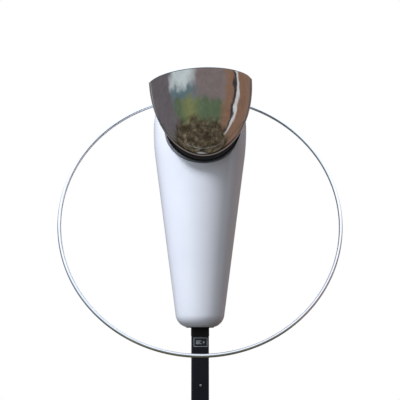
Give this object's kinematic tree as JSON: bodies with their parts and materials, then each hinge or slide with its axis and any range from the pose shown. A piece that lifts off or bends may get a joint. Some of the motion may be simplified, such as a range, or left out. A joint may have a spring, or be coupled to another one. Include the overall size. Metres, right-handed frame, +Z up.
{
  "type": "vertical axis wind turbine",
  "caption": "Vertical axis wind turbine head: a tapered pod turning on a square mast, with a tilting half-bowl scoop and a steel hoop.",
  "frame": {"origin": "centre of the square base plate, on its underside", "axes": "+Z up along the mast and the spin axis; the scoop faces -Y; +X to the right when looking at the scoop"},
  "size_m": [1.0116, 0.4924, 1.43],
  "materials": {
    "mast_coat": "satin",
    "black_rubber": "matte",
    "label": "matte",
    "zinc_screw": "brushed",
    "black_plastic": "satin",
    "turned_steel": "turned",
    "lamination": "matte",
    "copper": "lacquered",
    "bearing_steel": "polished",
    "alloy": "machined",
    "magnet_nickel": "plated",
    "ballast_iron": "painted",
    "gelcoat": "gloss",
    "polished_stainless": "polished",
    "bronze": "machined"
  },
  "bodies": {
    "mast": {"base_plate": "mast_coat", "base_gussets": "mast_coat", "mast_tube": "mast_coat", "mast_sleeve": "black_rubber", "rating_plate": "label", "access_screw": "zinc_screw", "cable_gland": "black_plastic", "mast_head": "turned_steel", "cross_bolts": "zinc_screw", "spindle": "turned_steel", "spindle_nut": "turned_steel", "stator_core": "lamination", "stator_coils": "copper", "bearing_inner_races": "bearing_steel"},
    "rotor": {"bearing_outer_races": "bearing_steel", "bearing_balls": "bearing_steel", "hub_tube_lower": "turned_steel", "hub_tube_upper": "turned_steel", "hub_cap": "turned_steel", "lower_bulkhead": "alloy", "upper_bulkhead": "alloy", "bell_lower": "alloy", "bell_upper": "alloy", "bell_bolts": "zinc_screw", "back_iron": "lamination", "magnets": "magnet_nickel", "counterweight": "ballast_iron", "counterweight_bolts": "zinc_screw", "pod_shell_front": "gelcoat", "pod_shell_rear": "gelcoat", "seam_gasket": "black_rubber", "seam_screws": "zinc_screw", "base_seal": "black_rubber", "collar": "black_plastic", "collar_seal": "black_rubber", "hoop": "polished_stainless", "hoop_joiner": "turned_steel", "hoop_clamp_base": "turned_steel", "hoop_clamp_cap": "turned_steel", "clamp_bolts": "zinc_screw", "hoop_grommets": "black_rubber", "pivot_housing": "alloy", "pivot_bushes": "bronze"},
    "scoop": {"scoop_bowl": "polished_stainless", "scoop_back_plate": "polished_stainless", "rim_trim": "polished_stainless", "swivel_disc": "alloy", "swivel_bolts": "zinc_screw", "pivot_shaft": "turned_steel", "pivot_washer": "turned_steel", "pivot_nut": "turned_steel"}
  },
  "joints": [
    {"name": "rotor_spin", "type": "hinge", "parent": "mast", "child": "rotor", "pos_m": [0, 0, 1], "axis": [0, 0, 1], "continuous": true},
    {"name": "scoop_pitch", "type": "hinge", "parent": "rotor", "child": "scoop", "pos_m": [0, -0.186, 1.199], "axis": [0, -1, 0], "range_deg": [-3.4, 86.6]}
  ]
}
